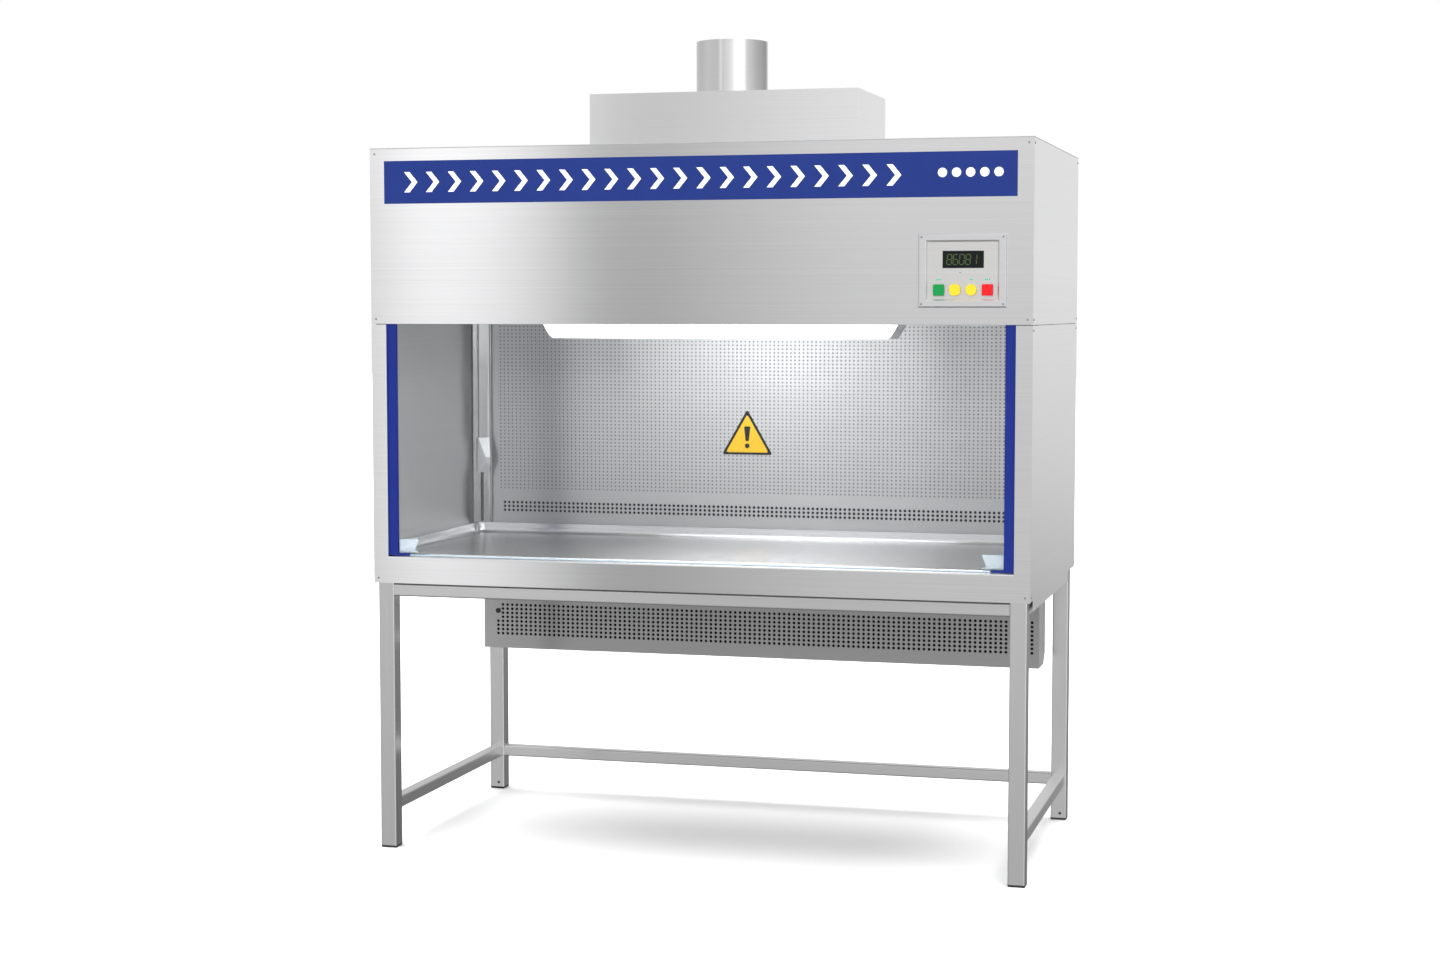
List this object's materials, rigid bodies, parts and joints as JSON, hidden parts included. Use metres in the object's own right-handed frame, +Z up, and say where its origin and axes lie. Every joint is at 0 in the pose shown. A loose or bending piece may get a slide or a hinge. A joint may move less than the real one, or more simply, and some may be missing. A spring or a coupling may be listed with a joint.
{
  "type": "ventilated safety cabinet",
  "caption": "Stainless ducted safety cabinet on an open square-tube stand, with a counterbalanced clear sash, lit chamber, filters, blower and roof exhaust collar.",
  "frame": {"origin": "on the floor, under the middle of the bounding box", "axes": "+X to the right of a user facing the cabinet, +Y from the front to the back, +Z up"},
  "size_m": [1.602, 0.824, 1.972],
  "materials": {
    "stand_steel": "satin",
    "foot_rubber": "matte",
    "case_steel": "brushed",
    "chamber_steel": "satin",
    "tray_steel": "polished",
    "grille_steel": "satin",
    "fascia_blue": "gloss",
    "bezel_metal": "satin",
    "board": "matte",
    "green": "gloss",
    "yellow": "gloss",
    "red": "gloss",
    "glass": "clear",
    "clear_plastic": "clear",
    "seal_blue": "satin",
    "guide_plastic": "matte",
    "mechanism_steel": "satin",
    "socket_plastic": "satin",
    "lamp_white": "diffuse",
    "lamp_metal": "satin",
    "filter_media": "matte",
    "fan_metal": "satin"
  },
  "bodies": {
    "case": {"blower_deck": "fan_metal", "blower_housing": "fan_metal", "blower_motor": "fan_metal", "cable_grommet": "foot_rubber", "chamber_ceiling": "chamber_steel", "control_bezel": "bezel_metal", "control_board": "board", "control_plate": "bezel_metal", "corner_trunking": "chamber_steel", "duct_collar": "case_steel", "exhaust_filter": "filter_media", "exhaust_plenum": "case_steel", "fascia_strip": "fascia_blue", "floor_pan": "case_steel", "foot_caps": "foot_rubber", "front_frame": "case_steel", "header_panel": "case_steel", "inner_wall_left": "chamber_steel", "inner_wall_right": "chamber_steel", "intake_box": "case_steel", "intake_grille": "grille_steel", "lamp_diffuser": "lamp_white", "lamp_housing": "lamp_metal", "lamp_tubes": "lamp_white", "leg_front_left": "stand_steel", "leg_front_right": "stand_steel", "leg_rear_left": "stand_steel", "leg_rear_right": "stand_steel", "lower_panel_back": "case_steel", "lower_panel_left": "case_steel", "lower_panel_right": "case_steel", "panel_screws": "mechanism_steel", "perforated_screen": "chamber_steel", "prefilter": "filter_media", "rear_baffle": "chamber_steel", "rear_stretcher": "stand_steel", "roof_panel": "case_steel", "sash_cables": "mechanism_steel", "sash_guides": "guide_plastic", "shaft_bearings": "guide_plastic", "side_stretchers": "stand_steel", "socket_box": "socket_plastic", "supply_filter": "filter_media", "top_rails_cross": "stand_steel", "top_rails_side": "stand_steel", "upper_panel_back": "case_steel", "upper_panel_left": "case_steel", "upper_panel_right": "case_steel", "work_tray": "tray_steel"},
    "sash": {"sash_glass": "glass", "sash_edge_seals": "seal_blue", "sash_pull_tabs": "clear_plastic"},
    "balance_shaft": {"sync_shaft": "mechanism_steel"},
    "counterweights": {"counterweights": "mechanism_steel"},
    "impeller": {"blower_impeller": "fan_metal"},
    "socket_flap": {"socket_flap": "socket_plastic"},
    "button_green": {"button_green": "green"},
    "button_yellow_left": {"button_yellow_left": "yellow"},
    "button_yellow_right": {"button_yellow_right": "yellow"},
    "button_red": {"button_red": "red"}
  },
  "joints": [
    {"name": "sash_slide", "type": "slide", "parent": "case", "child": "sash", "axis": [0, 0, 1], "range_m": [0, 0.375], "deforming": ["sash_cables"]},
    {"name": "shaft_turn", "type": "hinge", "parent": "case", "child": "balance_shaft", "pos_m": [0, -0.356, 1.66], "axis": [1, 0, 0], "range_deg": [-730, 0]},
    {"name": "counterweight_slide", "type": "slide", "parent": "case", "child": "counterweights", "axis": [0, 0, 1], "range_m": [-0.376, 0]},
    {"name": "impeller_spin", "type": "hinge", "parent": "case", "child": "impeller", "pos_m": [0, 0.026, 1.542], "axis": [1, 0, 0], "continuous": true},
    {"name": "socket_flap_hinge", "type": "hinge", "parent": "case", "child": "socket_flap", "pos_m": [-0.73215, 0.16815, 0.979], "axis": [-0.7071, -0.7071, 0], "range_deg": [0, 95]},
    {"name": "button_green_press", "type": "slide", "parent": "case", "child": "button_green", "axis": [0, 1, 0], "range_m": [0, 0.0015], "stiffness_N_per_m": 400, "springref_m": -0.0005},
    {"name": "button_yellow_left_press", "type": "slide", "parent": "case", "child": "button_yellow_left", "axis": [0, 1, 0], "range_m": [0, 0.0015], "stiffness_N_per_m": 400, "springref_m": -0.0005},
    {"name": "button_yellow_right_press", "type": "slide", "parent": "case", "child": "button_yellow_right", "axis": [0, 1, 0], "range_m": [0, 0.0015], "stiffness_N_per_m": 400, "springref_m": -0.0005},
    {"name": "button_red_press", "type": "slide", "parent": "case", "child": "button_red", "axis": [0, 1, 0], "range_m": [0, 0.0015], "stiffness_N_per_m": 400, "springref_m": -0.0005}
  ],
  "couplings": [
    {"joint": "shaft_turn", "follows": "sash_slide", "rad_per_m": -33.333},
    {"joint": "counterweight_slide", "follows": "sash_slide", "ratio": -1}
  ]
}
